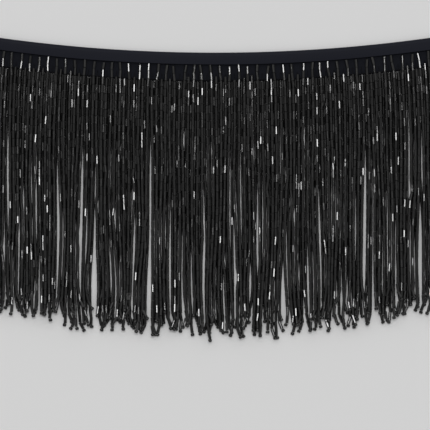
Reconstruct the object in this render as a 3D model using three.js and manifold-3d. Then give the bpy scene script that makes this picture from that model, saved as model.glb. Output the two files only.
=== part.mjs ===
// Beaded fringe trim, lying face up and curved edgewise in its own plane.
// A satin ribbon is folded lengthwise into a heading, with strands of bugle beads below it.
// Millimetres. +X runs along the trim, +Y from the fringe to the heading, +Z up.
import * as THREE from 'three';
import { mergeVertices } from 'three/addons/utils/BufferGeometryUtils.js';
import Module from 'manifold-3d';

// The whole trim
const CUT_LENGTH = 280;
const BEND_RADIUS = 919;
const PIECE_GAP = 0.3;
const ALONG_STEPS = 20;

// The ribbon: depths are measured down from the fold, at the heading's top edge
const RIBBON_THICKNESS = 1.0;
const FOLD_OPENING = 1.4;
const FOLD_STEPS = 5;
const FRONT_LEAF_DEPTH = 7.0;
const BACK_LEAF_DEPTH = 17.0;

// The strips that hold the strands' roots, one inside the fold and one below the back leaf
const FRONT_STRIP_TOP = 4.5;
const FRONT_STRIP_DEPTH = 2.0;
const BACK_STRIP_TOP = BACK_LEAF_DEPTH + PIECE_GAP;
const BACK_STRIP_DEPTH = 0.8;

// The strands: two layers, and in the upper one every other strand hangs from the fold
const STRANDS_ACROSS = 106;
const STRAND_WIDTH = 1.8;
const STRAND_HEIGHT = 1.85;
const THREAD_WIDTH = 1.0;
const THREAD_HEIGHT = FOLD_OPENING - 2 * PIECE_GAP;
const LEAST_SPACING = 2.15;
const SPACING_PASSES = 80;
const FIRST_PLACE = 0.25;
const PLACE_JITTER = 0.8;
const FRONT_ROW_LENGTH = 154;
const BACK_ROW_LENGTH = 149;
const LENGTH_SPREAD = 8;
const SHORT_BIAS = 1.4;
const END_LIFT = 3;
const HALF_VIEW = 126;

// Heights of the strands' undersides, and the depths over which they rise there
const ABOVE_LEAF = RIBBON_THICKNESS + PIECE_GAP;
const UPPER_LAYER = STRAND_HEIGHT + PIECE_GAP;
const THREAD_SHOWS = 0.4;
const BEADS_START = 0.7;
const SECOND_ROW_RISE = 5.3;

// How the strands hang: depths at which each one may bend, and how far it may stray there
const BEND_DEPTHS = [18, 40, 75, 112, 142, 157, 169];
const SHORTEST_STEP = 1;
const FAN_REACH = 30;
const SWAY_STARTS = 40;
const SWAY_GROWS = 80;
const OWN_SWAY = 0.32;
const OWN_SWAY_STEP = 21;
const CLUMP_SWAY = 0.6;
const CLUMP_SWAY_STEP = 34;
const CLUMP_WIDTH = 5.1;
const CLUMP_DRIFT = 11;
const TIP_LENGTH = 16;
const TIP_OVERRUN = 1.2;
const TIP_SPLAY = 1.6;
const TIP_KICK = 3.6;
const PULL_REACH = 6.5;
const HIDDEN_OPENING = 0.55;
const LAST_OPENING = 0.8;

const LOWER = 0;
const UPPER = 1;

// The traits of a strand that chance settles
const TRAIT = { place: 3, length: 11, sway: 21, splay: 31 };

// Where the strands part and show what is under them: the place along X, and the clear
// width at each bend depth from 75 mm down
const OPENINGS = [
  { at: -134.0, at75: 0.0, at112: 0.6, at142: 1.2, at157: 1.5 },
  { at: -121.5, at75: 0.9, at112: 0.4, at142: 0.0, at157: 0.4 },
  { at: -92.3, at75: 0.7, at112: 1.5, at142: 2.9, at157: 4.2 },
  { at: -78.2, at75: 1.8, at112: 1.8, at142: 0.9, at157: 0.9 },
  { at: -70.7, at75: 0.3, at112: 2.4, at142: 4.6, at157: 2.6 },
  { at: -47.6, at75: 0.0, at112: 1.2, at142: 0.4, at157: 0.4 },
  { at: -38.2, at75: 1.2, at112: 1.8, at142: 3.4, at157: 3.0 },
  { at: -26.8, at75: 0.0, at112: 1.3, at142: 1.8, at157: 1.4 },
  { at: -18.8, at75: 0.0, at112: 0.0, at142: 1.0, at157: 1.8 },
  { at: -7.1, at75: 0.2, at112: 1.5, at142: 1.5, at157: 1.2 },
  { at: 5.3, at75: 0.0, at112: 0.0, at142: 1.5, at157: 1.8 },
  { at: 10.6, at75: 0.0, at112: 0.9, at142: 0.3, at157: 0.3 },
  { at: 20.0, at75: 0.0, at112: 0.0, at142: 1.6, at157: 1.4 },
  { at: 40.6, at75: 0.0, at112: 0.5, at142: 3.3, at157: 4.0 },
  { at: 61.2, at75: 0.0, at112: 1.1, at142: 1.9, at157: 2.2 },
  { at: 83.5, at75: 0.0, at112: 1.2, at142: 0.3, at157: 0.3 },
  { at: 87.9, at75: 0.5, at112: 1.8, at142: 1.4, at157: 0.8 },
  { at: 92.6, at75: 0.4, at112: 1.5, at142: 1.3, at157: 1.3 },
  { at: 121.4, at75: 0.3, at112: 2.0, at142: 4.6, at157: 5.2 },
  { at: 134.0, at75: 0.0, at112: 0.6, at142: 1.2, at157: 1.5 },
];

const wasm = await Module();
wasm.setup();

// A repeatable number from 0 to 1 for strand i, another one for each trait
function chance(i, trait) {
  const v = Math.sin(i * 12.9898 + trait * 78.233) * 43758.5453;
  return v - Math.floor(v);
}

// The heading's top edge: an arc whose hollow side faces +Y
class TopEdge extends THREE.Curve {
  getPoint(t, target = new THREE.Vector3()) {
    const turn = ((t - 0.5) * CUT_LENGTH) / BEND_RADIUS;
    return target.set(BEND_RADIUS * Math.sin(turn), BEND_RADIUS * (1 - Math.cos(turn)), 0);
  }
}

// Runs an outline along the top edge. Its points are (-height, -depth), as the path's frame needs
function runAlongTrim(shape) {
  return new THREE.ExtrudeGeometry(shape, {
    extrudePath: new TopEdge(),
    steps: ALONG_STEPS,
    curveSegments: FOLD_STEPS,
    bevelEnabled: false,
  });
}

// The folded ribbon's outline: back leaf on the ground, fold, and the shorter front leaf over it
function foldedRibbon() {
  const inner = FOLD_OPENING / 2;
  const outer = inner + RIBBON_THICKNESS;
  const backTop = -RIBBON_THICKNESS;
  const frontBottom = backTop - FOLD_OPENING;
  const frontTop = frontBottom - RIBBON_THICKNESS;
  const shape = new THREE.Shape();
  shape.moveTo(0, -BACK_LEAF_DEPTH);
  shape.lineTo(0, -outer);
  shape.absarc(-outer, -outer, outer, 0, Math.PI, false);
  shape.lineTo(frontTop, -FRONT_LEAF_DEPTH);
  shape.lineTo(frontBottom, -FRONT_LEAF_DEPTH);
  shape.lineTo(frontBottom, -outer);
  shape.absarc(-outer, -outer, inner, Math.PI, 0, true);
  shape.lineTo(backTop, -BACK_LEAF_DEPTH);
  shape.closePath();
  return runAlongTrim(shape);
}

// A strip along the trim, from one depth and height to another
function rootStrip(depth, depthSize, height, heightSize) {
  const shape = new THREE.Shape();
  shape.moveTo(-height, -depth - depthSize);
  shape.lineTo(-height, -depth);
  shape.lineTo(-height - heightSize, -depth);
  shape.lineTo(-height - heightSize, -depth - depthSize);
  shape.closePath();
  return runAlongTrim(shape);
}

// Where a strand's root lies along the top edge. The lower layer nestles between the upper's
function upperPlace(i) {
  const even = ((i + FIRST_PLACE - STRANDS_ACROSS / 2) * CUT_LENGTH) / STRANDS_ACROSS;
  return even + (chance(i, TRAIT.place) - 0.5) * PLACE_JITTER;
}

function rootPlace(layer, i) {
  return layer === UPPER ? upperPlace(i) : (upperPlace(i) + upperPlace(i + 1)) / 2;
}

function isFront(layer, i) {
  return layer === UPPER && i % 2 === 0;
}

// The depth at which a strand ends
function endDepth(layer, i) {
  const start = isFront(layer, i) ? FRONT_LEAF_DEPTH : BACK_STRIP_TOP;
  const full = isFront(layer, i) ? FRONT_ROW_LENGTH : BACK_ROW_LENGTH;
  const short = LENGTH_SPREAD * Math.pow(chance(i, TRAIT.length + layer), SHORT_BIAS);
  const lift = END_LIFT * Math.pow(rootPlace(layer, i) / HALF_VIEW, 2);
  return start + full - short - lift;
}

// How far the openings push a strand aside at a bend depth
function openedBy(x, level) {
  const column = BEND_DEPTHS[Math.min(level, BEND_DEPTHS.length - 2)];
  const fade = level === BEND_DEPTHS.length - 1 ? LAST_OPENING : 1;
  let push = 0;
  for (const opening of OPENINGS) {
    const clear = (opening[`at${column}`] ?? 0) * fade;
    if (clear > 0) {
      const away = x >= opening.at ? 1 : -1;
      const reach = Math.exp(-Math.abs(x - opening.at) / PULL_REACH);
      push += (away * (clear + HIDDEN_OPENING) * reach) / 2;
    }
  }
  return push;
}

// Where a strand would hang at a bend depth if it had no neighbours
function freePlace(layer, i, level) {
  const depth = BEND_DEPTHS[level];
  const root = rootPlace(layer, i);
  const turn = Math.sin(root / BEND_RADIUS);
  const fan = FAN_REACH * (1 - Math.exp(-depth / FAN_REACH));
  let x = (BEND_RADIUS + fan) * turn;
  x += openedBy(x, level);
  const loose = Math.min(1, Math.max(0, (depth - SWAY_STARTS) / SWAY_GROWS));
  const own = Math.sin(depth / OWN_SWAY_STEP + 2 * Math.PI * chance(i, TRAIT.sway + layer));
  const drift = root / CLUMP_WIDTH + 2 * Math.sin(root / CLUMP_DRIFT);
  const clump = Math.sin(depth / CLUMP_SWAY_STEP + drift);
  x += loose * (OWN_SWAY * own + CLUMP_SWAY * clump);
  const tip = (depth - endDepth(layer, i) + TIP_LENGTH) / TIP_LENGTH;
  if (tip > 0) {
    const turned = 2 * chance(i, TRAIT.splay + layer) - 1;
    const splay = TIP_SPLAY * turned + TIP_KICK * Math.pow(turned, 5);
    x += splay * Math.pow(Math.min(tip, TIP_OVERRUN), 2);
  }
  return x;
}

// Where a layer's strands lie at each bend depth, pushed apart until none is too near another
function hangLayer(layer) {
  return BEND_DEPTHS.map((depth, level) => {
    const places = [];
    for (let i = 0; i < STRANDS_ACROSS; i += 1) {
      places.push(freePlace(layer, i, level));
    }
    for (let pass = 0; pass < SPACING_PASSES; pass += 1) {
      for (let i = 0; i + 1 < STRANDS_ACROSS; i += 1) {
        const short = LEAST_SPACING - (places[i + 1] - places[i]);
        if (short > 0) {
          places[i] -= short / 2;
          places[i + 1] += short / 2;
        }
      }
    }
    return places;
  });
}

// A strand's place along X at any depth
function placeAt(layer, places, i, depth) {
  if (depth <= BEND_DEPTHS[0]) {
    const root = BEND_RADIUS * Math.sin(rootPlace(layer, i) / BEND_RADIUS);
    return THREE.MathUtils.lerp(root, places[0][i], depth / BEND_DEPTHS[0]);
  }
  let level = 0;
  while (level < BEND_DEPTHS.length - 2 && depth > BEND_DEPTHS[level + 1]) {
    level += 1;
  }
  const span = BEND_DEPTHS[level + 1] - BEND_DEPTHS[level];
  const part = (depth - BEND_DEPTHS[level]) / span;
  return THREE.MathUtils.lerp(places[level][i], places[level + 1][i], part);
}

// The upper part of each kind of strand: depth, underside, and section there
const FRONT_THREAD = { low: ABOVE_LEAF, width: THREAD_WIDTH, height: THREAD_HEIGHT };
const FRONT_ROOT = [
  { depth: FRONT_STRIP_TOP + FRONT_STRIP_DEPTH / 2, ...FRONT_THREAD },
  { depth: FRONT_LEAF_DEPTH + THREAD_SHOWS, ...FRONT_THREAD },
  { depth: FRONT_LEAF_DEPTH + BEADS_START, low: ABOVE_LEAF },
  { depth: BACK_LEAF_DEPTH - PIECE_GAP, low: UPPER_LAYER },
];
const BACK_ROOT_DEPTH = BACK_STRIP_TOP + BACK_STRIP_DEPTH / 2;
const SECOND_ROOT = [
  { depth: BACK_ROOT_DEPTH, low: ABOVE_LEAF },
  { depth: BACK_ROOT_DEPTH + SECOND_ROW_RISE, low: UPPER_LAYER },
];
const LOWER_ROOT = [{ depth: BACK_ROOT_DEPTH, low: 0 }];

function rootRings(layer, i) {
  if (layer === LOWER) {
    return LOWER_ROOT;
  }
  return isFront(layer, i) ? FRONT_ROOT : SECOND_ROOT;
}

// One strand: a long box with a ring of corners at its root, at each bend and at its tip
function strand(layer, places, i) {
  const low = layer === LOWER ? 0 : UPPER_LAYER;
  const end = endDepth(layer, i);
  const bends = BEND_DEPTHS.filter((depth) => depth > BEND_DEPTHS[0] && depth < end - SHORTEST_STEP);
  const rings = [...rootRings(layer, i), ...[...bends, end].map((depth) => ({ depth, low }))];
  const turn = rootPlace(layer, i) / BEND_RADIUS;
  const top = BEND_RADIUS * (1 - Math.cos(turn));
  const last = rings.length - 1;
  const box = new THREE.BoxGeometry(1, 1, 1, 1, last, 1);
  const corner = box.attributes.position;
  for (let k = 0; k < corner.count; k += 1) {
    const ring = rings[Math.round((0.5 - corner.getY(k)) * last)];
    const width = ring.width ?? STRAND_WIDTH;
    const height = ring.height ?? STRAND_HEIGHT;
    const x = placeAt(layer, places, i, ring.depth) + corner.getX(k) * width;
    corner.setXYZ(k, x, top - ring.depth, ring.low + (corner.getZ(k) + 0.5) * height);
  }
  return box;
}

// Between a three.js geometry and a solid that can be joined
function toSolid(geometry) {
  geometry.deleteAttribute('normal');
  geometry.deleteAttribute('uv');
  const merged = mergeVertices(geometry, 1e-4);
  return new wasm.Manifold(
    new wasm.Mesh({
      numProp: 3,
      vertProperties: new Float32Array(merged.attributes.position.array),
      triVerts: new Uint32Array(merged.index.array),
    }),
  );
}

function toGeometry(solid) {
  const mesh = solid.getMesh();
  const geometry = new THREE.BufferGeometry();
  geometry.setAttribute('position', new THREE.BufferAttribute(mesh.vertProperties, 3));
  geometry.setIndex(new THREE.BufferAttribute(mesh.triVerts, 1));
  geometry.computeVertexNormals();
  return geometry;
}

// A fringe: its strands, fused at their roots into one strip
function fringe(strip, strands) {
  return toGeometry(strands.reduce((whole, one) => whole.add(toSolid(one)), toSolid(strip)));
}

const satin = new THREE.MeshStandardMaterial({ color: 0x1b1c24, roughness: 0.42, metalness: 0 });
const jet = new THREE.MeshStandardMaterial({ color: 0x0b0b0c, roughness: 0.16, metalness: 0 });
const lowerJet = new THREE.MeshStandardMaterial({ color: 0x09090a, roughness: 0.2, metalness: 0 });

const ribbon = new THREE.Mesh(foldedRibbon(), satin);
ribbon.name = 'satin_ribbon';

const frontStrands = [];
const backStrands = [];
for (const layer of [LOWER, UPPER]) {
  const places = hangLayer(layer);
  for (let i = 0; i < STRANDS_ACROSS; i += 1) {
    const row = isFront(layer, i) ? frontStrands : backStrands;
    row.push(strand(layer, places, i));
  }
}

const frontStrip = rootStrip(FRONT_STRIP_TOP, FRONT_STRIP_DEPTH, ABOVE_LEAF, THREAD_HEIGHT);
const frontFringe = new THREE.Mesh(fringe(frontStrip, frontStrands), jet);
frontFringe.name = 'front_fringe';

const backStrip = rootStrip(BACK_STRIP_TOP, BACK_STRIP_DEPTH, 0, STRAND_HEIGHT);
const backFringe = new THREE.Mesh(fringe(backStrip, backStrands), lowerJet);
backFringe.name = 'back_fringe';

// The origin is on the ground, under the middle of the whole trim
const trim = new THREE.Group();
trim.add(ribbon, frontFringe, backFringe);
const extent = new THREE.Box3().setFromObject(trim);
const middle = extent.getCenter(new THREE.Vector3());
trim.position.set(-middle.x, -middle.y, -extent.min.z);

export default trim;
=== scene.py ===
import math

import bmesh
import bpy
import numpy as np
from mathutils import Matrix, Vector


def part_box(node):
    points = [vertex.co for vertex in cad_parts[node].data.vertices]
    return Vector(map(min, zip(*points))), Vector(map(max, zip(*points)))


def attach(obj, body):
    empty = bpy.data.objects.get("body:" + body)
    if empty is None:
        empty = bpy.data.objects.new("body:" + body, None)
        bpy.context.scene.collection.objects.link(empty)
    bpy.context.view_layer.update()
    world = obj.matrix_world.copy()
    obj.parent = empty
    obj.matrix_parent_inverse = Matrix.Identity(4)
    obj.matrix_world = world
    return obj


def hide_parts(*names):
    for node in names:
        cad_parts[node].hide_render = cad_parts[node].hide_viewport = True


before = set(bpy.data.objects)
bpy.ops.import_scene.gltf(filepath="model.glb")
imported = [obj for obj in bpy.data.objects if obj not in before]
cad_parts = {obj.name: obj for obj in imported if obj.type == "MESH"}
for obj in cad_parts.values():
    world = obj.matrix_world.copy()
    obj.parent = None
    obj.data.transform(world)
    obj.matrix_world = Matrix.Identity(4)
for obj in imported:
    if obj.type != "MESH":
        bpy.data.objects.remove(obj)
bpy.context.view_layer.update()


# Satin ribbon: one length of 25 mm single-face satin, folded lengthwise off its middle and curved
# edgewise. The shiny side is out. The dull side shows on the deeper back leaf, between the first
# beads. Its two woven edges are a little thicker.
BEND_RADIUS = 0.919
CUT_LENGTH = 0.280
BACK_LEAF = 0.0170
FRONT_LEAF = 0.0070
CLOTH = 0.0008
WOVEN_EDGE, INNER_THICKNESS = 0.0009, 0.8
LEAF_DROP, LEAF_DROP_CURVE = 0.00035, 0.75
RIPPLE_HEIGHT, RIPPLE_STEP = 0.00006, 0.031
SMALL_RIPPLE, SMALL_RIPPLE_STEP, SMALL_RIPPLE_START = 0.6, 0.013, 1.7
EDGE_WANDER, EDGE_WANDER_STEP = 0.00005, 0.019
LENGTH_CELLS, ACROSS_CELLS = 220, 60
CREASE_ANGLE = 50
WEAVE_DEPTH = 0.00006
FACE_SHADES = ((0.0075, 0.0084, 0.0135), (0.0113, 0.0122, 0.0188))
BACK_SHADES = ((0.0070, 0.0077, 0.0110), (0.0119, 0.0128, 0.0174))

ribbon_low, ribbon_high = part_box("satin_ribbon")
FOLD_RADIUS = (ribbon_high.z - ribbon_low.z) / 2
MIDDLE_X = (ribbon_low.x + ribbon_high.x) / 2
FOLD_EDGE_Y = ribbon_low.y + BACK_LEAF
FOLD_ARC = math.pi * (FOLD_RADIUS - CLOTH / 2)
BACK_RUN = BACK_LEAF - FOLD_RADIUS
FRONT_RUN = FRONT_LEAF - FOLD_RADIUS
RIBBON_WIDTH = BACK_RUN + FOLD_ARC + FRONT_RUN


def on_trim(along, depth):
    """The place in the table's plane at a distance along the fold's edge and a depth below it."""
    turn = along / BEND_RADIUS
    x = MIDDLE_X + (BEND_RADIUS + depth) * np.sin(turn)
    y = FOLD_EDGE_Y + BEND_RADIUS - (BEND_RADIUS + depth) * np.cos(turn)
    return x, y


def round_the_fold(across):
    """Depth and height of the ribbon's outer side, from the back leaf's edge over the fold."""
    back = across < BACK_RUN
    front = across > BACK_RUN + FOLD_ARC
    bend = np.clip((across - BACK_RUN) / FOLD_ARC, 0, 1) * math.pi
    depth = FOLD_RADIUS * (1 - np.sin(bend))
    depth = np.where(back, BACK_LEAF - across, depth)
    depth = np.where(front, FOLD_RADIUS + across - BACK_RUN - FOLD_ARC, depth)
    return depth, FOLD_RADIUS * (1 - np.cos(bend))


bpy.ops.object.select_all(action="DESELECT")
bpy.ops.mesh.primitive_grid_add(x_subdivisions=LENGTH_CELLS, y_subdivisions=ACROSS_CELLS, size=1)
ribbon = bpy.context.object
ribbon.name = ribbon.data.name = "satin_ribbon_cloth"
flat = np.zeros(len(ribbon.data.vertices) * 3)
ribbon.data.vertices.foreach_get("co", flat)
flat = flat.reshape(-1, 3)
along = flat[:, 0] * CUT_LENGTH
across = (flat[:, 1] + 0.5) * RIBBON_WIDTH
depth, height = round_the_fold(across)
ripple = np.sin(along / RIPPLE_STEP)
ripple = ripple + SMALL_RIPPLE * np.sin(along / SMALL_RIPPLE_STEP + SMALL_RIPPLE_START)
loose_leaf = np.clip((across - BACK_RUN - FOLD_ARC) / FRONT_RUN, 0, 1) ** 2
height = height - RIPPLE_HEIGHT * (1 + ripple) * loose_leaf - LEAF_DROP * loose_leaf**LEAF_DROP_CURVE
depth = depth + EDGE_WANDER * np.sin(along / EDGE_WANDER_STEP) * loose_leaf
ribbon_x, ribbon_y = on_trim(along, depth)
laid = np.stack([ribbon_x, ribbon_y, height], axis=1)
ribbon.data.vertices.foreach_set("co", laid.ravel())
woven = ribbon.data.uv_layers.active
woven.name = "cloth"
spot = np.zeros(len(woven.data) * 2)
woven.data.foreach_get("uv", spot)
spot = spot.reshape(-1, 2) * np.array([CUT_LENGTH, RIBBON_WIDTH])
woven.data.foreach_set("uv", spot.ravel())
edge_group = ribbon.vertex_groups.new(name="thickness")
from_edge = np.minimum(across, RIBBON_WIDTH - across)
thick_share = np.where(from_edge < WOVEN_EDGE, 1.0, INNER_THICKNESS)
for index, share in enumerate(thick_share):
    edge_group.add([index], float(share), "REPLACE")
ribbon.data.update()
bpy.ops.object.mode_set(mode="EDIT")
bpy.ops.mesh.select_all(action="SELECT")
bpy.ops.mesh.flip_normals()
bpy.ops.object.mode_set(mode="OBJECT")

weave = bpy.data.node_groups.new("Satin weave", "ShaderNodeTree")
for name, kind, start in (
    ("Cloth place", "NodeSocketVector", None),
    ("Threads per metre", "NodeSocketFloat", 9000.0),
    ("Float length", "NodeSocketFloat", 0.04),
    ("Slub", "NodeSocketFloat", 0.5),
):
    socket = weave.interface.new_socket(name, in_out="INPUT", socket_type=kind)
    if start is not None:
        socket.default_value = start
for name in ("Height", "Tone"):
    weave.interface.new_socket(name, in_out="OUTPUT", socket_type="NodeSocketFloat")
inside = weave.nodes.new("NodeGroupInput")
outside = weave.nodes.new("NodeGroupOutput")
drawn_out = weave.nodes.new("ShaderNodeCombineXYZ")
stretch = weave.nodes.new("ShaderNodeVectorMath")
stretch.operation = "MULTIPLY"
floats = weave.nodes.new("ShaderNodeMath")
floats.operation = "MULTIPLY"
warp = weave.nodes.new("ShaderNodeTexNoise")
warp.inputs["Scale"].default_value = 1.0
warp.inputs["Detail"].default_value = 2.0
slub = weave.nodes.new("ShaderNodeTexNoise")
slub.inputs["Scale"].default_value = 0.07
slub.inputs["Detail"].default_value = 3.0
blend = weave.nodes.new("ShaderNodeMix")
weave.links.new(inside.outputs["Threads per metre"], floats.inputs[0])
weave.links.new(inside.outputs["Float length"], floats.inputs[1])
weave.links.new(floats.outputs[0], drawn_out.inputs["X"])
weave.links.new(inside.outputs["Threads per metre"], drawn_out.inputs["Y"])
weave.links.new(inside.outputs["Cloth place"], stretch.inputs[0])
weave.links.new(drawn_out.outputs[0], stretch.inputs[1])
weave.links.new(stretch.outputs[0], warp.inputs["Vector"])
weave.links.new(stretch.outputs[0], slub.inputs["Vector"])
weave.links.new(inside.outputs["Slub"], blend.inputs["Factor"])
weave.links.new(warp.outputs["Fac"], blend.inputs["A"])
weave.links.new(slub.outputs["Fac"], blend.inputs["B"])
weave.links.new(warp.outputs["Fac"], outside.inputs["Height"])
weave.links.new(blend.outputs["Result"], outside.inputs["Tone"])


def satin_side(name, shades, roughness, threads, float_length, relief, sheen):
    """One side of the ribbon: its two shades, its range of roughness, and how its threads lie."""
    cloth = bpy.data.materials.new(name)
    cloth.use_nodes = True
    nodes, links = cloth.node_tree.nodes, cloth.node_tree.links
    shader = nodes["Principled BSDF"]
    place = nodes.new("ShaderNodeUVMap")
    place.uv_map = "cloth"
    threaded = nodes.new("ShaderNodeGroup")
    threaded.node_tree = weave
    threaded.inputs["Threads per metre"].default_value = threads
    threaded.inputs["Float length"].default_value = float_length
    shade = nodes.new("ShaderNodeMix")
    shade.data_type = "RGBA"
    shade.inputs["A"].default_value = (*shades[0], 1)
    shade.inputs["B"].default_value = (*shades[1], 1)
    polish = nodes.new("ShaderNodeMapRange")
    polish.inputs["From Min"].default_value = 0.3
    polish.inputs["From Max"].default_value = 0.7
    polish.inputs["To Min"].default_value = roughness[0]
    polish.inputs["To Max"].default_value = roughness[1]
    bump = nodes.new("ShaderNodeBump")
    bump.inputs["Strength"].default_value = relief
    bump.inputs["Distance"].default_value = WEAVE_DEPTH
    links.new(place.outputs["UV"], threaded.inputs["Cloth place"])
    links.new(threaded.outputs["Tone"], shade.inputs["Factor"])
    links.new(shade.outputs["Result"], shader.inputs["Base Color"])
    links.new(threaded.outputs["Tone"], polish.inputs["Value"])
    links.new(polish.outputs["Result"], shader.inputs["Roughness"])
    links.new(threaded.outputs["Height"], bump.inputs["Height"])
    links.new(bump.outputs["Normal"], shader.inputs["Normal"])
    shader.inputs["Specular IOR Level"].default_value = sheen
    return cloth


shiny = satin_side(
    "satin face", FACE_SHADES,
    roughness=(0.45, 0.60), threads=9000, float_length=0.03, relief=0.35, sheen=0.08,
)
dull = satin_side(
    "satin back", BACK_SHADES,
    roughness=(0.70, 0.85), threads=5200, float_length=0.45, relief=0.60, sheen=0.06,
)
ribbon.data.materials.append(shiny)
ribbon.data.materials.append(dull)
thicken = ribbon.modifiers.new("cloth thickness", "SOLIDIFY")
thicken.thickness = CLOTH
thicken.offset = -1
thicken.use_even_offset = True
thicken.use_rim = True
thicken.material_offset = 1
thicken.material_offset_rim = 1
thicken.vertex_group = "thickness"
bpy.ops.object.modifier_apply(modifier=thicken.name)
bpy.ops.object.shade_smooth_by_angle(angle=math.radians(CREASE_ANGLE))
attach(ribbon, "root")
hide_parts("satin_ribbon")


# Strand threads: black polyester, one to a strand, up through its beads and back, and sewn to the
# ribbon. The strands hang in two layers, the lower ones between the upper. Every other upper one
# comes from inside the fold, and the rest from the back leaf. They part in places.
STRANDS_ACROSS = 106
LOWER, UPPER = 0, 1
BEAD_RADIUS = 0.00094
STRAND_HEIGHT = 0.00185
LAYER_GAP = 0.0003
LEAST_SPACING = 0.00215
FIRST_PLACE = 0.25
PLACE_JITTER = 0.0008
FRONT_ROW_LENGTH = 0.154
BACK_ROW_LENGTH = 0.149
LENGTH_SPREAD = 0.008
SHORT_BIAS = 1.4
END_LIFT = 0.003
HALF_VIEW = 0.126
BACK_STRIP_TOP = BACK_LEAF + LAYER_GAP
BEND_DEPTHS = np.array([0.018, 0.040, 0.075, 0.112, 0.142, 0.157, 0.169])
FAN_REACH = 0.030
SWAY_STARTS, SWAY_GROWS = 0.040, 0.080
OWN_SWAY, OWN_SWAY_STEP = 0.00032, 0.021
CLUMP_SWAY, CLUMP_SWAY_STEP = 0.0006, 0.034
CLUMP_WIDTH, CLUMP_DRIFT, CLUMP_UNEVEN = 0.0051, 0.011, 2
TIP_LENGTH, TIP_OVERRUN = 0.016, 1.2
TIP_SPLAY, TIP_KICK, TIP_KICK_CURVE = 0.0016, 0.0016, 5
PULL_REACH = 0.0065
HIDDEN_OPENING = 0.00055
LAST_OPENING = 0.8
SWEEPS = 80
TRAIT = {
    "place": 3, "length": 11, "sway": 21, "splay": 34, "lift step": 41, "lift start": 42,
    "hooked": 51, "hook": 53, "end": 61, "first bead": 71, "kinked": 81, "kink place": 82,
    "kink": 83, "lean": 91, "wobble": 92,
}

# Where the strands part, in millimetres: the place along the trim, and the clear width at each
# bend depth from 75 mm down.
OPENINGS = (
    {"at": -134.0, "at75": 0.0, "at112": 0.6, "at142": 0.8, "at157": 1.0},
    {"at": -121.5, "at75": 0.1, "at112": 0.4, "at142": 0.0, "at157": 0.4},
    {"at": -92.3, "at75": 0.4, "at112": 0.6, "at142": 0.9, "at157": 1.5},
    {"at": -78.2, "at75": 1.3, "at112": 0.6, "at142": 0.5, "at157": 0.8},
    {"at": -70.7, "at75": 1.0, "at112": 2.6, "at142": 6.0, "at157": 4.0},
    {"at": -47.6, "at75": 0.0, "at112": 1.8, "at142": 0.4, "at157": 0.4},
    {"at": -38.2, "at75": 1.5, "at112": 2.2, "at142": 4.2, "at157": 3.0},
    {"at": -26.8, "at75": 0.0, "at112": 0.7, "at142": 1.5, "at157": 1.4},
    {"at": -18.8, "at75": 0.0, "at112": 0.0, "at142": 0.2, "at157": 1.0},
    {"at": -7.1, "at75": 0.2, "at112": 1.0, "at142": 1.3, "at157": 1.2},
    {"at": 5.3, "at75": 0.0, "at112": 0.0, "at142": 1.0, "at157": 1.8},
    {"at": 10.6, "at75": 0.0, "at112": 0.9, "at142": 0.3, "at157": 0.3},
    {"at": 20.0, "at75": 0.0, "at112": 0.0, "at142": 2.2, "at157": 1.4},
    {"at": 40.6, "at75": 0.0, "at112": 0.5, "at142": 3.3, "at157": 4.0},
    {"at": 61.2, "at75": 0.0, "at112": 1.1, "at142": 2.2, "at157": 2.2},
    {"at": 83.5, "at75": 0.0, "at112": 1.2, "at142": 0.3, "at157": 0.3},
    {"at": 87.9, "at75": 0.5, "at112": 1.8, "at142": 1.4, "at157": 0.8},
    {"at": 92.6, "at75": 0.4, "at112": 1.5, "at142": 1.3, "at157": 1.3},
    {"at": 121.4, "at75": 0.8, "at112": 1.3, "at142": 0.9, "at157": 1.0},
    {"at": 134.0, "at75": 0.0, "at112": 0.3, "at142": 0.5, "at157": 0.8},
)


def chance(i, trait, layer=0):
    """A repeatable number from 0 to 1 for strand i, another one for each trait and layer."""
    v = math.sin(i * 12.9898 + (TRAIT[trait] + layer) * 78.233) * 43758.5453
    return v - math.floor(v)


def upper_place(i):
    """Where an upper strand's root lies: evenly spaced but for a little chance."""
    even = (i + FIRST_PLACE - STRANDS_ACROSS / 2) * CUT_LENGTH / STRANDS_ACROSS
    return even + (chance(i, "place") - 0.5) * PLACE_JITTER


def root_place(layer, i):
    """Where a strand's root lies along the fold's edge."""
    return upper_place(i) if layer == UPPER else (upper_place(i) + upper_place(i + 1)) / 2


def from_fold(layer, i):
    """Whether a strand comes from inside the fold, as every other upper one does."""
    return layer == UPPER and i % 2 == 0


def row_of(layer, i):
    """The name of the row that a strand belongs to."""
    return "lower" if layer == LOWER else "front" if from_fold(layer, i) else "second"


def end_depth(layer, i):
    """The depth at which a strand ends."""
    start = FRONT_LEAF if from_fold(layer, i) else BACK_STRIP_TOP
    full = FRONT_ROW_LENGTH if from_fold(layer, i) else BACK_ROW_LENGTH
    short = LENGTH_SPREAD * chance(i, "length", layer) ** SHORT_BIAS
    return start + full - short - END_LIFT * (root_place(layer, i) / HALF_VIEW) ** 2


def opened_by(x, level):
    """How far the openings push a strand aside at a bend depth."""
    last = level == len(BEND_DEPTHS) - 1
    column = f"at{1000 * BEND_DEPTHS[level - 1 if last else level]:.0f}"
    push = 0.0
    for opening in OPENINGS:
        clear = opening.get(column, 0.0) / 1000 * (LAST_OPENING if last else 1)
        if clear > 0:
            off = x - opening["at"] / 1000
            away = 1 if off >= 0 else -1
            push += away * (clear + HIDDEN_OPENING) / 2 * math.exp(-abs(off) / PULL_REACH)
    return push


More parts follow.
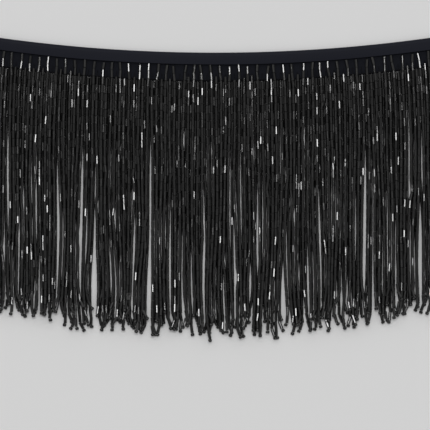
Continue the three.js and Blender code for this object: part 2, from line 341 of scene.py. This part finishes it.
def free_place(layer, i, level):
    """Where a strand would hang at a bend depth if it had no neighbours."""
    depth = BEND_DEPTHS[level]
    root = root_place(layer, i)
    fan = FAN_REACH * (1 - math.exp(-depth / FAN_REACH))
    x = (BEND_RADIUS + fan) * math.sin(root / BEND_RADIUS)
    x += opened_by(x, level)
    loose = min(1, max(0, (depth - SWAY_STARTS) / SWAY_GROWS))
    own = math.sin(depth / OWN_SWAY_STEP + 2 * math.pi * chance(i, "sway", layer))
    drift = root / CLUMP_WIDTH + CLUMP_UNEVEN * math.sin(root / CLUMP_DRIFT)
    x += loose * (OWN_SWAY * own + CLUMP_SWAY * math.sin(depth / CLUMP_SWAY_STEP + drift))
    tip = (depth - end_depth(layer, i) + TIP_LENGTH) / TIP_LENGTH
    if tip > 0:
        turned = 2 * chance(i, "splay", layer) - 1
        x += (TIP_SPLAY * turned + TIP_KICK * turned**TIP_KICK_CURVE) * min(tip, TIP_OVERRUN) ** 2
    return x


def hang_layer(layer):
    """Where a layer's strands lie at each bend depth, pushed apart until none is too near another."""
    levels = []
    for level in range(len(BEND_DEPTHS)):
        places = [free_place(layer, i, level) for i in range(STRANDS_ACROSS)]
        for sweep in range(SWEEPS):
            for i in range(STRANDS_ACROSS - 1):
                short = LEAST_SPACING - (places[i + 1] - places[i])
                if short > 0:
                    places[i] -= short / 2
                    places[i + 1] += short / 2
        levels.append(places)
    return np.array(levels)


# The threads' own sizes and shades, where each kind comes out of the ribbon, and how it lies.
THREAD_RADIUS = 0.00016
THREAD_SIDES = 4
THREAD_SHADES = ((0.003, 0.003, 0.004), (0.008, 0.008, 0.010))
NEARLY_UP = (0.0, 0.13, 1.0)
PATH_STEP = 0.0005
FOLD_STITCH_DEPTH = 0.0055
EDGE_STITCH_DEPTH = BACK_LEAF - 0.0006
SECOND_STITCH_DEPTH = BACK_LEAF - 0.0044
FRONT_BEADS_START = FRONT_LEAF + 0.0002
LOWER_BEADS_START = BACK_LEAF + 0.00015
SECOND_BEADS_START = BACK_LEAF + 0.0002
ON_CLOTH_AFTER = 0.0008
IN_FOLD_HEIGHT = 0.0017
AT_EDGE_HEIGHT = CLOTH + 0.00035
ON_CLOTH_HEIGHT = CLOTH + BEAD_RADIUS
LOWER_HEIGHT = BEAD_RADIUS
LEAF_HEIGHT = 0.0021
OVER_FIRST_BEADS = 0.0024
SETTLED_AFTER = 0.014
UPPER_HEIGHT = LAYER_GAP + STRAND_HEIGHT + BEAD_RADIUS
LIFT, LIFT_BEGINS, LIFT_START_SPREAD = 0.00012, 0.02, 6
LIFT_STEP, LIFT_STEP_SPREAD = 0.0030, 0.0012
RIDE_SWAY, RIDE_STEP, RIDE_BEND = 0.00045, 0.0061, 0.029
CROSS_SWAY, CROSS_STEP, CROSS_BEND = 0.6, 0.0037, 0.018
RIDE_STARTS, RIDE_GROWS = 0.025, 0.05
LATE_SWAY, LATE_STARTS, LATE_GROWS = 0.6, 0.07, 0.06
TIP_CURL, CURL_LENGTH = 0.0009, 0.018
KINK, KINK_SHARE, KINK_REACH = 0.0011, 0.75, 0.0045
KINKS_START, KINKS_SPAN = 0.050, 0.095
HOOK_LENGTH, HOOK_CURVE, HOOK_RISE_HASTE = 0.0058, 1.3, 1.3
HOOK_SHARE = (0.92, 0.40)
TIP_EXTRA = 0.0052
STITCH_DEPTH = {"lower": EDGE_STITCH_DEPTH, "second": SECOND_STITCH_DEPTH, "front": FOLD_STITCH_DEPTH}
BEADS_START = {"lower": LOWER_BEADS_START, "second": SECOND_BEADS_START, "front": FRONT_BEADS_START}
START_SPREAD = {"lower": 0.0, "second": 0.0044, "front": 0.0012}
START_EARLY = {"lower": 0.0, "second": 0.78, "front": 0.0}
LEAN, LEAN_REACH = 0.0013, 0.008
WOBBLE, WOBBLE_STEP, WOBBLE_START_SPREAD, LEAST_WOBBLE = 0.00028, 0.0021, 6.28, 0.3
MIDDLE_LONGER, SIDES_SHORTER = 0.0022, 1.9
HOOK_SWEEP = (0.0034, 0.0032)
LEAST_HOOK = 0.3
HOOK_RISE = (0.0004, 0.0007)
DROOP_LENGTH = 0.009


def smooth_line(knots, values, at):
    """A smooth line through a few knots, read at many places."""
    slopes = np.gradient(values, knots)
    cell = np.clip(np.searchsorted(knots, at, side="right") - 1, 0, len(knots) - 2)
    span = knots[cell + 1] - knots[cell]
    t = (at - knots[cell]) / span
    rise = t * t * (3 - 2 * t)
    line = values[cell] * (1 - rise) + values[cell + 1] * rise
    line += span * t * (1 - t) * ((1 - t) * slopes[cell] - t * slopes[cell + 1])
    return line


def eased(t):
    """From 0 to 1, gently at both ends."""
    t = np.clip(t, 0, 1)
    return t * t * (3 - 2 * t)


def strand_heights(layer, i, depths):
    """How high the middle of a strand lies at each depth: on the table, or on the layer below."""
    if layer == LOWER:
        return LOWER_HEIGHT + (AT_EDGE_HEIGHT - LOWER_HEIGHT) * (depths < LOWER_BEADS_START)
    if from_fold(layer, i):
        knots = (FOLD_STITCH_DEPTH, FRONT_BEADS_START, BACK_LEAF)
        height = np.interp(depths, knots, (IN_FOLD_HEIGHT, LEAF_HEIGHT, UPPER_HEIGHT))
    else:
        start = SECOND_STITCH_DEPTH
        settled = SECOND_BEADS_START + SETTLED_AFTER
        knots = (start, start + ON_CLOTH_AFTER, SECOND_BEADS_START, settled)
        stops = (AT_EDGE_HEIGHT, ON_CLOTH_HEIGHT, OVER_FIRST_BEADS, UPPER_HEIGHT)
        height = np.interp(depths, knots, stops)
    step = LIFT_STEP + LIFT_STEP_SPREAD * chance(i, "lift step")
    wave = np.sin(depths / step + LIFT_START_SPREAD * chance(i, "lift start"))
    height = height + LIFT * wave * eased((depths - LIFT_BEGINS) / LIFT_BEGINS)
    ground_ends = max(end_depth(LOWER, max(i - 1, 0)), end_depth(LOWER, i))
    sunk = eased((depths - ground_ends) / DROOP_LENGTH)
    height = height + TIP_CURL * eased((depths - ground_ends) / CURL_LENGTH + 1)
    return height - (UPPER_HEIGHT - LOWER_HEIGHT) * sunk


def strand_path(levels, layer, i):
    """Closely spaced points down the middle of a strand, from its stitch to its tip."""
    root = root_place(layer, i)
    end = end_depth(layer, i) + TIP_EXTRA * (chance(i, "end", layer) - 0.5)
    end += MIDDLE_LONGER * (1 - SIDES_SHORTER * (root / HALF_VIEW) ** 2)
    start = STITCH_DEPTH[row_of(layer, i)]
    depths = np.append(np.arange(start, end, PATH_STEP), end)
    knots = np.concatenate([[0], BEND_DEPTHS])
    stops = np.concatenate([[BEND_RADIUS * math.sin(root / BEND_RADIUS)], levels[:, i]])
    x = smooth_line(knots, stops, depths)
    height = strand_heights(layer, i, depths)
    if from_fold(layer, i):
        leaned = 2 * chance(i, "lean") - 1
        slack = np.exp(-(((depths - FRONT_LEAF) / LEAN_REACH) ** 2))
        x = x + LEAN * leaned * slack
        wobble = np.sin(depths / WOBBLE_STEP + WOBBLE_START_SPREAD * chance(i, "wobble"))
        x = x + WOBBLE * wobble * (LEAST_WOBBLE + (1 - LEAST_WOBBLE) * slack)
    if layer == UPPER:
        loose = eased((depths - RIDE_STARTS) / RIDE_GROWS)
        loose = loose + LATE_SWAY * eased((depths - LATE_STARTS) / LATE_GROWS)
        drift = np.sin(root / RIDE_STEP + depths / RIDE_BEND)
        drift = drift + CROSS_SWAY * np.sin(root / CROSS_STEP - depths / CROSS_BEND)
        x = x + RIDE_SWAY * loose * drift
        if chance(i, "kinked") < KINK_SHARE:
            kink_depth = KINKS_START + KINKS_SPAN * chance(i, "kink place")
            bent = 2 * chance(i, "kink") - 1
            x = x + KINK * bent * np.exp(-(((depths - kink_depth) / KINK_REACH) ** 2))
    if chance(i, "hooked", layer) < HOOK_SHARE[layer]:
        turned = 2 * chance(i, "hook", layer) - 1
        turned = math.copysign(LEAST_HOOK, turned) + (1 - LEAST_HOOK) * turned
        near_tip = np.clip((depths - end + HOOK_LENGTH) / HOOK_LENGTH, 0, 1)
        x = x + HOOK_SWEEP[layer] * turned * near_tip**HOOK_CURVE
        height = height + HOOK_RISE[layer] * turned**2 * eased(near_tip * HOOK_RISE_HASTE)
    fall = np.sqrt(np.maximum(np.diff(depths) ** 2 - np.diff(x) ** 2, 0))
    y = -np.concatenate([[0], np.cumsum(fall)]) - start
    top = BEND_RADIUS * (1 - math.cos(root / BEND_RADIUS))
    return np.stack([MIDDLE_X + x, FOLD_EDGE_Y + top + y, height], axis=1)


def along_path(path, at):
    """Points at given distances along a path."""
    reach = np.concatenate([[0], np.cumsum(np.linalg.norm(np.diff(path, axis=0), axis=1))])
    return np.stack([np.interp(at, reach, path[:, k]) for k in range(3)], axis=1)


def path_length(path):
    """How long a path is."""
    return float(np.linalg.norm(np.diff(path, axis=0), axis=1).sum())


def spin_threads(name, paths, radius, sides):
    """Round threads along paths, joined in one mesh, each with its two ends closed."""
    points, faces = [], []
    for path in paths:
        first = len(points)
        ways = np.gradient(path, axis=0)
        ways /= np.linalg.norm(ways, axis=1)[:, None]
        side = np.cross(ways, NEARLY_UP)
        side /= np.linalg.norm(side, axis=1)[:, None]
        up = np.cross(side, ways)
        for k in range(len(path)):
            for turn in range(sides):
                angle = 2 * math.pi * turn / sides
                points.append(path[k] + radius * (math.cos(angle) * side[k] + math.sin(angle) * up[k]))
        for k in range(len(path) - 1):
            for turn in range(sides):
                a = first + k * sides + turn
                b = first + k * sides + (turn + 1) % sides
                faces.append((a, b, b + sides, a + sides))
        faces.append(tuple(first + sides - 1 - turn for turn in range(sides)))
        last = first + (len(path) - 1) * sides
        faces.append(tuple(last + turn for turn in range(sides)))
    mesh = bpy.data.meshes.new(name)
    mesh.from_pydata([tuple(p) for p in points], [], faces)
    mesh.update()
    spun = bpy.data.objects.new(name, mesh)
    bpy.context.scene.collection.objects.link(spun)
    spun.select_set(True)
    bpy.context.view_layer.objects.active = spun
    bpy.ops.object.mode_set(mode="EDIT")
    bpy.ops.mesh.select_all(action="SELECT")
    bpy.ops.mesh.normals_make_consistent(inside=False)
    bpy.ops.object.mode_set(mode="OBJECT")
    bpy.ops.object.shade_smooth()
    bpy.ops.object.select_all(action="DESELECT")
    return spun


# The places of the beads on each strand, which the threads, the beads and the tip beads share.
BEAD_PITCH = 0.0046
TIP_BEAD_ROOM = 0.0020
LENGTH_VARIES = 0.09
LENGTH_SEED = 5
ROWS = ("lower", "second", "front")
length_chance = np.random.default_rng(LENGTH_SEED)

hung = {LOWER: hang_layer(LOWER), UPPER: hang_layer(UPPER)}
strands = {row: [] for row in ROWS}
for layer in (LOWER, UPPER):
    for i in range(STRANDS_ACROSS):
        row = row_of(layer, i)
        path = strand_path(hung[layer], layer, i)
        bare = BEADS_START[row] - STITCH_DEPTH[row]
        bare += START_SPREAD[row] * (chance(i, "first bead") - START_EARLY[row])
        beaded = path_length(path) - bare - TIP_BEAD_ROOM
        lengths = length_chance.uniform(1 - LENGTH_VARIES, 1 + LENGTH_VARIES, round(beaded / BEAD_PITCH))
        stops = bare + beaded * np.concatenate([[0], np.cumsum(lengths)]) / lengths.sum()
        strands[row].append({"path": path, "stops": stops})

thread_paths = []
for row in ROWS:
    for strand in strands[row]:
        knots = np.concatenate([[0], strand["stops"], [strand["stops"][-1] + TIP_BEAD_ROOM / 2]])
        thread_paths.append(along_path(strand["path"], knots))
bpy.ops.object.select_all(action="DESELECT")
threads = spin_threads("strand_threads", thread_paths, THREAD_RADIUS, THREAD_SIDES)

black_thread = bpy.data.materials.new("black polyester thread")
black_thread.use_nodes = True
nodes, links = black_thread.node_tree.nodes, black_thread.node_tree.links
shader = nodes["Principled BSDF"]
fibres = nodes.new("ShaderNodeTexNoise")
fibres.inputs["Scale"].default_value = 5200
fibres.inputs["Detail"].default_value = 2
thread_place = nodes.new("ShaderNodeTexCoord")
thread_shade = nodes.new("ShaderNodeMix")
thread_shade.data_type = "RGBA"
thread_shade.inputs["A"].default_value = (*THREAD_SHADES[0], 1)
thread_shade.inputs["B"].default_value = (*THREAD_SHADES[1], 1)
thread_bump = nodes.new("ShaderNodeBump")
thread_bump.inputs["Strength"].default_value = 0.5
thread_bump.inputs["Distance"].default_value = 0.00005
links.new(thread_place.outputs["Object"], fibres.inputs["Vector"])
links.new(fibres.outputs["Fac"], thread_shade.inputs["Factor"])
links.new(thread_shade.outputs["Result"], shader.inputs["Base Color"])
links.new(fibres.outputs["Fac"], thread_bump.inputs["Height"])
links.new(thread_bump.outputs["Normal"], shader.inputs["Normal"])
shader.inputs["Roughness"].default_value = 0.75
shader.inputs["Specular IOR Level"].default_value = 0.15
threads.data.materials.append(black_thread)
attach(threads, "root")


# Root stitching: a twisted cord inside the fold and another along the back leaf's edge hold the
# strands' threads, and small whip stitches tie the second cord to the ribbon's woven edge.
CORD_PLY_RADIUS = 0.00022
PLY_THREAD_RADIUS = CORD_PLY_RADIUS * 0.8
PLY_SIDES = 5
CORD_TWIST = 0.0017
CORD_STEPS = 1100
CORD_END_ROOM = 0.0003
STITCH_SLANT = 0.0005
STITCH_PARTS = (0.0, 0.5)
TENTH_MM = 0.0001
STITCH_DEPTHS = BACK_LEAF + TENTH_MM * np.array([-11, -9, -6, -2, 1.3, 1.3])
STITCH_HEIGHTS = TENTH_MM * np.array([8.3, 13, 16.5, 14, 8, 2])

cord_along = np.linspace(-CUT_LENGTH / 2 + CORD_END_ROOM, CUT_LENGTH / 2 - CORD_END_ROOM, CORD_STEPS)
plies = []
for cord_depth, cord_height in ((FOLD_STITCH_DEPTH, IN_FOLD_HEIGHT), (EDGE_STITCH_DEPTH, AT_EDGE_HEIGHT)):
    for ply in (0, math.pi):
        turn = 2 * math.pi * cord_along / CORD_TWIST + ply
        x, y = on_trim(cord_along, cord_depth + CORD_PLY_RADIUS * np.cos(turn))
        plies.append(np.stack([x, y, cord_height + CORD_PLY_RADIUS * np.sin(turn)], axis=1))
for i in range(STRANDS_ACROSS):
    for part in STITCH_PARTS:
        place = root_place(LOWER, i) + part * CUT_LENGTH / STRANDS_ACROSS
        x, y = on_trim(place + STITCH_SLANT * np.linspace(0, 1, len(STITCH_DEPTHS)), STITCH_DEPTHS)
        plies.append(np.stack([x, y, STITCH_HEIGHTS], axis=1))
stitching = spin_threads("root_stitching", plies, PLY_THREAD_RADIUS, PLY_SIDES)
stitching.data.materials.append(black_thread)
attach(stitching, "root")


# Bugle beads: black glass cane, 1.9 mm across with eight flat sides and a square hole, cut to about
# 4.5 mm and tumbled, which softens the edges. Threaded end to end, each one sits turned its own way.
BEAD_LENGTH = 0.0045
HOLE_INSET = 0.00045
SOFT_EDGE = 0.00009
CANE_SIDES = 8
CAP_FACES_UP = 0.9
AXIS_WITHIN, HOLE_WITHIN, OUTSIDE_BEYOND = 0.1 * BEAD_RADIUS, 0.6 * BEAD_RADIUS, 0.9 * BEAD_RADIUS
PITCH_SPREAD = {"lower": 1.4, "second": 2.0, "front": 2.0}
RAISED_SHARE = {"lower": 0.03, "second": 0.075, "front": 0.075}
RAISED = (4.5, 9.0)
RAISED_TOO = 0.2
YAW_SPREAD = 0.9
LAST_BEADS, LAST_YAW, LAST_TILT = 2, 6.0, 3.0
FLAT_SIDE_UP = math.pi / CANE_SIDES
STRAND_ROLL, BEAD_ROLL = 11, 9
FIRST_BEADS, FIRST_ROLL = 3, 9
BEAD_GAP = 0.0001
TURN_SEED = 11
GLASS_SHADES = ((0.0025, 0.0025, 0.0025), (0.0054, 0.0054, 0.0054))
CANE_LINES = (1100, 520, 1100)
chance_of = np.random.default_rng(TURN_SEED)


def pick(kind, wanted):
    """Select the faces or the edges of the bead that pass a test, and nothing else."""
    bpy.ops.mesh.select_mode(type=kind)
    bpy.ops.mesh.select_all(action="DESELECT")
    shape = bmesh.from_edit_mesh(bead.data)
    for element in shape.faces if kind == "FACE" else shape.edges:
        element.select = wanted(element)
    bmesh.update_edit_mesh(bead.data)


def is_cap(face):
    return abs(face.normal.z) > CAP_FACES_UP


def is_every_other_hole_side(edge):
    middle = (edge.verts[0].co + edge.verts[1].co) / 2
    side_number = int(math.atan2(middle.y, middle.x) % math.tau / math.tau * CANE_SIDES)
    return middle.xy.length < HOLE_WITHIN and side_number % 2 == 0


def is_on_axis(face):
    return face.calc_center_median().xy.length < AXIS_WITHIN


def is_outside(edge):
    return all(v.co.xy.length > OUTSIDE_BEYOND for v in edge.verts)


bpy.ops.object.select_all(action="DESELECT")
bpy.ops.mesh.primitive_cylinder_add(vertices=CANE_SIDES, radius=BEAD_RADIUS, depth=BEAD_LENGTH)
bead = bpy.context.object
bead.name = bead.data.name = "bugle_bead"
bpy.ops.object.mode_set(mode="EDIT")
pick("FACE", is_cap)
bpy.ops.mesh.inset(thickness=HOLE_INSET)
pick("EDGE", is_every_other_hole_side)
bpy.ops.mesh.edge_collapse()
pick("FACE", is_on_axis)
bpy.ops.mesh.bridge_edge_loops()
pick("EDGE", is_outside)
bpy.ops.mesh.bevel(offset=SOFT_EDGE, segments=1, affect="EDGES")
bpy.ops.mesh.select_all(action="SELECT")
bpy.ops.mesh.normals_make_consistent(inside=False)
bpy.ops.object.mode_set(mode="OBJECT")


def turned_beads(row, chosen):
    """The middle, the three directions and the length share of every bead on the chosen strands."""
    middles, turns, shares = [], [], []
    for strand in chosen:
        stops = along_path(strand["path"], strand["stops"])
        ways = np.diff(stops, axis=0)
        reach = np.linalg.norm(ways, axis=1)
        ways /= reach[:, None]
        count = len(ways)
        tilt = chance_of.normal(0, PITCH_SPREAD[row], count)
        raised = chance_of.random(count) < RAISED_SHARE[row]
        raised[1:] |= raised[:-1] & (chance_of.random(count - 1) < RAISED_TOO)
        tilt[raised] = chance_of.uniform(*RAISED, raised.sum())
        yaw = np.radians(chance_of.normal(0, YAW_SPREAD, count))
        yaw[-LAST_BEADS:] += np.radians(chance_of.normal(0, LAST_YAW, LAST_BEADS))
        tilt[-LAST_BEADS:] += chance_of.normal(0, LAST_TILT, LAST_BEADS)
        leaning = chance_of.normal(0, STRAND_ROLL) + chance_of.normal(0, BEAD_ROLL, count)
        if row == "front":
            leaning[:FIRST_BEADS] = chance_of.normal(0, FIRST_ROLL, FIRST_BEADS)
        roll = FLAT_SIDE_UP + np.radians(leaning)
        ways = ways + np.stack([yaw, np.zeros(count), np.radians(tilt)], axis=1)
        ways /= np.linalg.norm(ways, axis=1)[:, None]
        side = np.cross(ways, (0.0, 0.0, 1.0))
        side /= np.linalg.norm(side, axis=1)[:, None]
        up = np.cross(side, ways)
        first = np.cos(roll)[:, None] * side + np.sin(roll)[:, None] * up
        second = np.cross(ways, first)
        middles.append((stops[1:] + stops[:-1]) / 2)
        turns.append(np.stack([first, second, ways], axis=2))
        shares.append((reach - BEAD_GAP) / BEAD_LENGTH)
    return np.concatenate(middles), np.concatenate(turns), np.concatenate(shares)


def string_beads(name, pattern, middles, turns, shares, glass):
    """Copies of one bead, joined in one mesh: each has its own tone and lies no lower than the table."""
    corners = np.array([v.co for v in pattern.data.vertices])
    faces = [np.array(f.vertices) for f in pattern.data.polygons]
    stretched = np.repeat(corners[None], len(middles), axis=0)
    stretched[:, :, 2] *= shares[:, None]
    placed = np.einsum("nij,nvj->nvi", turns, stretched) + middles[:, None, :]
    placed[:, :, 2] += np.maximum(0, -placed[:, :, 2].min(axis=1))[:, None]
    starts = np.arange(len(middles))[:, None] * len(corners)
    made = bpy.data.meshes.new(name)
    all_faces = []
    for start in starts[:, 0]:
        all_faces.extend((face + start).tolist() for face in faces)
    made.from_pydata(placed.reshape(-1, 3).tolist(), [], all_faces)
    tone = made.attributes.new("bead_tone", "FLOAT", "FACE")
    tone.data.foreach_set("value", np.repeat(chance_of.random(len(middles)), len(faces)))
    made.update()
    made.materials.append(glass)
    strung = bpy.data.objects.new(name, made)
    bpy.context.scene.collection.objects.link(strung)
    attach(strung, "root")
    return strung


jet = bpy.data.materials.new("jet-black glass")
jet.use_nodes = True
nodes, links = jet.node_tree.nodes, jet.node_tree.links
shader = nodes["Principled BSDF"]
bead_tone = nodes.new("ShaderNodeAttribute")
bead_tone.attribute_name = "bead_tone"
glass_shade = nodes.new("ShaderNodeMix")
glass_shade.data_type = "RGBA"
glass_shade.inputs["A"].default_value = (*GLASS_SHADES[0], 1)
glass_shade.inputs["B"].default_value = (*GLASS_SHADES[1], 1)
glass_polish = nodes.new("ShaderNodeMapRange")
glass_polish.inputs["To Min"].default_value = 0.05
glass_polish.inputs["To Max"].default_value = 0.22
glass_place = nodes.new("ShaderNodeTexCoord")
drawn = nodes.new("ShaderNodeMapping")
drawn.inputs["Scale"].default_value = CANE_LINES
cane_lines = nodes.new("ShaderNodeTexNoise")
cane_lines.inputs["Scale"].default_value = 1
cane_lines.inputs["Detail"].default_value = 2
cane_bump = nodes.new("ShaderNodeBump")
cane_bump.inputs["Strength"].default_value = 0.6
cane_bump.inputs["Distance"].default_value = 0.00004
links.new(bead_tone.outputs["Fac"], glass_shade.inputs["Factor"])
links.new(glass_shade.outputs["Result"], shader.inputs["Base Color"])
links.new(bead_tone.outputs["Fac"], glass_polish.inputs["Value"])
links.new(glass_polish.outputs["Result"], shader.inputs["Roughness"])
links.new(glass_place.outputs["Object"], drawn.inputs["Vector"])
links.new(drawn.outputs["Vector"], cane_lines.inputs["Vector"])
links.new(cane_lines.outputs["Fac"], cane_bump.inputs["Height"])
links.new(cane_bump.outputs["Normal"], shader.inputs["Normal"])
shader.inputs["IOR"].default_value = 1.52

half = STRANDS_ACROSS // 2
front_beads = string_beads("front_row_beads", bead, *turned_beads("front", strands["front"]), jet)
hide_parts("front_fringe")
second_beads = string_beads("second_row_beads", bead, *turned_beads("second", strands["second"]), jet)
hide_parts("back_fringe")
for side_name, chosen in (("left", strands["lower"][:half]), ("right", strands["lower"][half:])):
    lower_beads = string_beads(f"lower_row_beads_{side_name}", bead, *turned_beads("lower", chosen), jet)
    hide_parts("back_fringe")
bpy.data.objects.remove(bead)


# Tip beads: one small round black bead stops each strand, and its thread goes back up through the
# others. It is a little wider than a bugle bead, with a drilled hole.
TIP_RING, TIP_WALL = 0.00070, 0.00048
TIP_HEIGHT = 0.0018

bpy.ops.object.select_all(action="DESELECT")
bpy.ops.mesh.primitive_torus_add(
    major_segments=10, minor_segments=6, major_radius=TIP_RING, minor_radius=TIP_WALL
)
tip_bead = bpy.context.object
bpy.ops.object.mode_set(mode="EDIT")
bpy.ops.mesh.select_all(action="SELECT")
bpy.ops.transform.resize(value=(1, 1, TIP_HEIGHT / TIP_WALL / 2))
bpy.ops.object.mode_set(mode="OBJECT")
bpy.ops.object.shade_smooth()

tip_middles, tip_turns = [], []
for row in ROWS:
    for strand in strands[row]:
        reach = path_length(strand["path"])
        near, far = along_path(strand["path"], np.array([reach - TIP_BEAD_ROOM, reach]))
        way = (far - near) / np.linalg.norm(far - near)
        side = np.cross(way, (0.0, 0.0, 1.0))
        side /= np.linalg.norm(side)
        tip_middles.append((near + far) / 2)
        tip_turns.append(np.stack([side, np.cross(way, side), way], axis=1))
tips = string_beads(
    "tip_beads", tip_bead, np.array(tip_middles), np.array(tip_turns), np.ones(len(tip_middles)), jet
)
tips.data.polygons.foreach_set("use_smooth", np.ones(len(tips.data.polygons), bool))
bpy.data.objects.remove(tip_bead)


# The table, the light and the camera: a pale grey surface seen from straight above, soft light from
# overhead and all round, more of it from behind the ribbon, and one large lamp high on that side.
MM_PER_PIXEL = 0.588
IMAGE_SIDE = 430
MIDDLE_PIXEL_Y = 215
FOLD_EDGE_PIXEL_Y = 52.7
CAMERA_HEIGHT = 2.6
SENSOR_WIDTH = 36
SEEN_TO = 20
TABLE_SIDE = 6
TABLE_GREY = 0.74
KEY_PLACE = (0.0, 1.44, 6.0)
KEY_WIDTH, KEY_LENGTH, KEY_POWER = 1.8, 0.9, 110
OVERHEAD_GLOW, OVERHEAD_FALL = 0.495, 1.7
AROUND_GLOW, BEHIND_GLOW, HORIZON_FALL = 0.42, 1.5, 0.35

view_side = IMAGE_SIDE * MM_PER_PIXEL / 1000
view_y = FOLD_EDGE_Y - (MIDDLE_PIXEL_Y - FOLD_EDGE_PIXEL_Y) * MM_PER_PIXEL / 1000
camera_data = bpy.data.cameras.new("camera")
camera = bpy.data.objects.new("camera", camera_data)
bpy.context.scene.collection.objects.link(camera)
camera_data.sensor_width = SENSOR_WIDTH
camera_data.lens = SENSOR_WIDTH * CAMERA_HEIGHT / view_side
camera_data.clip_end = SEEN_TO
camera.location = (MIDDLE_X, view_y, CAMERA_HEIGHT)
bpy.context.scene.camera = camera

bpy.ops.mesh.primitive_plane_add(size=TABLE_SIDE, location=(0, 0, 0))
table = bpy.context.object
table.name = "table_top"
table_finish = bpy.data.materials.new("pale grey table")
table_finish.use_nodes = True
shader = table_finish.node_tree.nodes["Principled BSDF"]
shader.inputs["Base Color"].default_value = (TABLE_GREY, TABLE_GREY, TABLE_GREY, 1)
shader.inputs["Roughness"].default_value = 0.9
table.data.materials.append(table_finish)

key_data = bpy.data.lights.new("key", "AREA")
key_data.shape = "RECTANGLE"
key_data.size = KEY_WIDTH
key_data.size_y = KEY_LENGTH
key_data.energy = KEY_POWER
key = bpy.data.objects.new("key", key_data)
bpy.context.scene.collection.objects.link(key)
key.location = KEY_PLACE
key.rotation_euler = (Vector((0, 0, 0)) - Vector(KEY_PLACE)).to_track_quat("-Z", "Y").to_euler()

world = bpy.data.worlds.new("studio")
world.use_nodes = True
nodes, links = world.node_tree.nodes, world.node_tree.links
way = nodes.new("ShaderNodeTexCoord")
parts = nodes.new("ShaderNodeSeparateXYZ")
links.new(way.outputs["Generated"], parts.inputs[0])


def sky_sum(operation, first, second):
    """One step of arithmetic on the sky's direction: each side is a socket or a number."""
    step = nodes.new("ShaderNodeMath")
    step.operation = operation
    for side, value in enumerate((first, second)):
        if isinstance(value, bpy.types.NodeSocket):
            links.new(value, step.inputs[side])
        else:
            step.inputs[side].default_value = value
    return step.outputs[0]


upward = sky_sum("MAXIMUM", parts.outputs["Z"], 0.0)
backward = sky_sum("MAXIMUM", parts.outputs["Y"], 0.0)
overhead = sky_sum("MULTIPLY", sky_sum("POWER", upward, OVERHEAD_FALL), OVERHEAD_GLOW)
around = sky_sum("SUBTRACT", 1.0, sky_sum("MULTIPLY", upward, upward))
around = sky_sum("MULTIPLY", around, AROUND_GLOW)
behind = sky_sum("MULTIPLY", sky_sum("MULTIPLY", backward, backward), BEHIND_GLOW)
low_down = sky_sum("MULTIPLY", sky_sum("ADD", around, behind), sky_sum("POWER", upward, HORIZON_FALL))
links.new(sky_sum("ADD", overhead, low_down), nodes["Background"].inputs["Strength"])
nodes["Background"].inputs["Color"].default_value = (1, 1, 1, 1)
bpy.context.scene.world = world
bpy.context.scene.view_settings.view_transform = "Standard"
